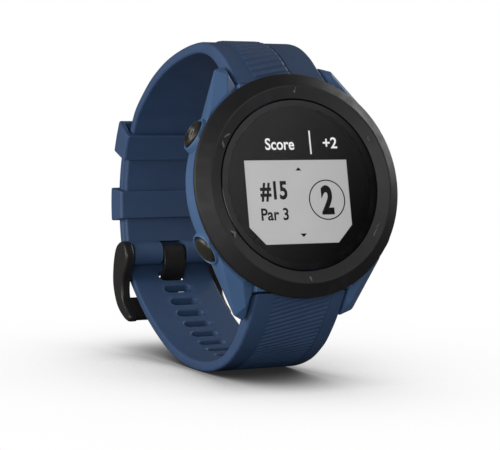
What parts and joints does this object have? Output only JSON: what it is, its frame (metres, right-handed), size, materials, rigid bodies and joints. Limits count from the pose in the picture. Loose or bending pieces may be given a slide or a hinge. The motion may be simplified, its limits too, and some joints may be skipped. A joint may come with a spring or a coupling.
{
  "type": "golf gps watch",
  "caption": "Round golf GPS wristwatch, buckled, with a monochrome score display, side push buttons and a silicone strap on quick-release spring bars.",
  "frame": {"origin": "centre of the flat outer face of the case back", "axes": "+X to 3 o'clock, +Y out of the case back towards the wrist, +Z to 12 o'clock"},
  "size_m": [0.0436, 0.0747, 0.067],
  "materials": {
    "blue_polymer": "satin moulded polymer, tidal blue",
    "black_polymer": "satin black",
    "lens_glass": "polished cover glass",
    "black_rubber": "matt rubber",
    "display": "reflective monochrome display",
    "white_plastic": "matt",
    "circuit_board": "solder mask",
    "ceramic": "matt ceramic",
    "battery_foil": "satin foil pouch",
    "back_polymer": "satin black fibre-reinforced polymer",
    "contact_gold": "gold plated",
    "blue_silicone": "matt silicone",
    "button_metal": "dark satin",
    "black_metal": "satin black",
    "steel": "brushed"
  },
  "bodies": {
    "watch_case": {"case_body": "blue_polymer", "bezel": "black_polymer", "lens": "lens_glass", "lens_gasket": "black_rubber", "display_panel": "display", "display_backlight": "white_plastic", "main_board": "circuit_board", "gps_antenna": "ceramic", "battery_tray": "white_plastic", "battery": "battery_foil", "case_back": "back_polymer", "case_back_gasket": "black_rubber", "charge_socket": "black_rubber", "strap_upper": "blue_silicone", "strap_lower": "blue_silicone", "keeper_fixed": "blue_silicone", "buckle_pin": "steel", "case_screw_1": "steel", "charge_contact_1": "contact_gold", "case_screw_2": "steel", "charge_contact_2": "contact_gold", "case_screw_3": "steel", "charge_contact_3": "contact_gold", "case_screw_4": "steel", "charge_contact_4": "contact_gold", "button_seal_upper_right": "black_rubber", "button_switch_upper_right": "white_plastic", "button_seal_upper_left": "black_rubber", "button_switch_upper_left": "white_plastic", "button_seal_lower_left": "black_rubber", "button_switch_lower_left": "white_plastic", "button_seal_lower_right": "black_rubber", "button_switch_lower_right": "white_plastic", "spring_bar_tube_upper": "steel", "spring_bar_spring_upper": "steel", "spring_bar_tube_lower": "steel", "spring_bar_spring_lower": "steel"},
    "button_upper_right": {"button_upper_right": "button_metal", "button_clip_upper_right": "steel"},
    "button_upper_left": {"button_upper_left": "button_metal", "button_clip_upper_left": "steel"},
    "button_lower_left": {"button_lower_left": "button_metal", "button_clip_lower_left": "steel"},
    "button_lower_right": {"button_lower_right": "button_metal", "button_clip_lower_right": "steel"},
    "release_upper": {"spring_bar_release_upper": "steel"},
    "release_lower": {"spring_bar_release_lower": "steel"},
    "keeper_free": {"keeper_free": "blue_silicone"},
    "buckle_frame": {"buckle_frame": "black_metal"},
    "buckle_prong": {"buckle_prong": "black_metal"}
  },
  "joints": [
    {"name": "button_upper_right_press", "type": "slide", "parent": "watch_case", "child": "button_upper_right", "axis": [-0.8746, 0, -0.4848], "range_m": [0, 0.0006], "stiffness_N_per_m": 900, "springref_m": -0.0008},
    {"name": "button_upper_left_press", "type": "slide", "parent": "watch_case", "child": "button_upper_left", "axis": [0.8746, 0, -0.4848], "range_m": [0, 0.0006], "stiffness_N_per_m": 900, "springref_m": -0.0008},
    {"name": "button_lower_left_press", "type": "slide", "parent": "watch_case", "child": "button_lower_left", "axis": [0.8572, 0, 0.515], "range_m": [0, 0.0006], "stiffness_N_per_m": 900, "springref_m": -0.0008},
    {"name": "button_lower_right_press", "type": "slide", "parent": "watch_case", "child": "button_lower_right", "axis": [-0.8572, 0, 0.515], "range_m": [0, 0.0006], "stiffness_N_per_m": 900, "springref_m": -0.0008},
    {"name": "spring_bar_upper_release", "type": "slide", "parent": "watch_case", "child": "release_upper", "axis": [-1, 0, 0], "range_m": [0, 0.0012], "stiffness_N_per_m": 700, "springref_m": -0.001},
    {"name": "spring_bar_lower_release", "type": "slide", "parent": "watch_case", "child": "release_lower", "axis": [-1, 0, 0], "range_m": [0, 0.0012], "stiffness_N_per_m": 700, "springref_m": -0.001},
    {"name": "keeper_free_slide", "type": "hinge", "parent": "watch_case", "child": "keeper_free", "pos_m": [0, 0.026, 0.001], "axis": [1, 0, 0], "range_deg": [-12, 5]},
    {"name": "buckle_frame_hinge", "type": "hinge", "parent": "watch_case", "child": "buckle_frame", "pos_m": [0, 0.0542, -0.0047], "axis": [1, 0, 0], "range_deg": [0, 5]},
    {"name": "buckle_prong_hinge", "type": "hinge", "parent": "watch_case", "child": "buckle_prong", "pos_m": [0, 0.0542, -0.0047], "axis": [1, 0, 0], "range_deg": [0, 5]}
  ],
  "couplings": [
    {"joint": "buckle_prong_hinge", "follows": "buckle_frame_hinge", "ratio": 1}
  ]
}
